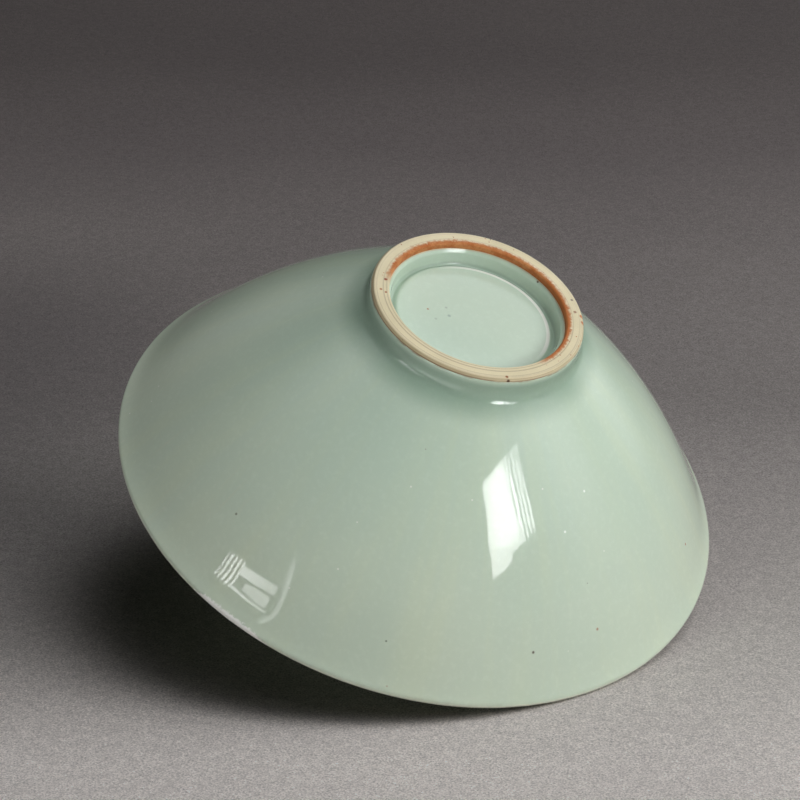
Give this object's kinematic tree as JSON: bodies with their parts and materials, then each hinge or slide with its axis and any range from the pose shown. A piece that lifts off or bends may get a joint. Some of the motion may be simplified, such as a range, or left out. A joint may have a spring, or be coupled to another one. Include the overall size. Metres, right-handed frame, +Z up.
{
  "type": "rice bowl",
  "caption": "Wide celadon-glazed ceramic bowl with a gently curved conical wall, a slightly flared lip and a small turned foot ring of bare clay.",
  "frame": {"origin": "centre of the foot ring's resting face, at the bottom of the bowl", "axes": "+Z up out of the bowl's mouth along its turning axis; +X and +Y are any two directions across it, because the bowl is round"},
  "size_m": [0.16, 0.16, 0.062],
  "materials": {
    "bare_clay": "matt buff stoneware with fine turning lines on the foot ring and an iron-orange kiln flash along its inner edge",
    "celadon_outside": "smooth glossy pale blue-green celadon glaze, thinner and paler at the lip",
    "celadon_inside": "smooth glossy pale blue-green celadon glaze",
    "celadon_foot": "smooth glossy celadon glaze, pooled darker in the groove round the recess"
  },
  "bodies": {
    "root": {"clay_body": "bare_clay", "outer_glaze": "celadon_outside", "inner_glaze": "celadon_inside", "foot_recess_glaze": "celadon_foot"}
  },
  "joints": []
}
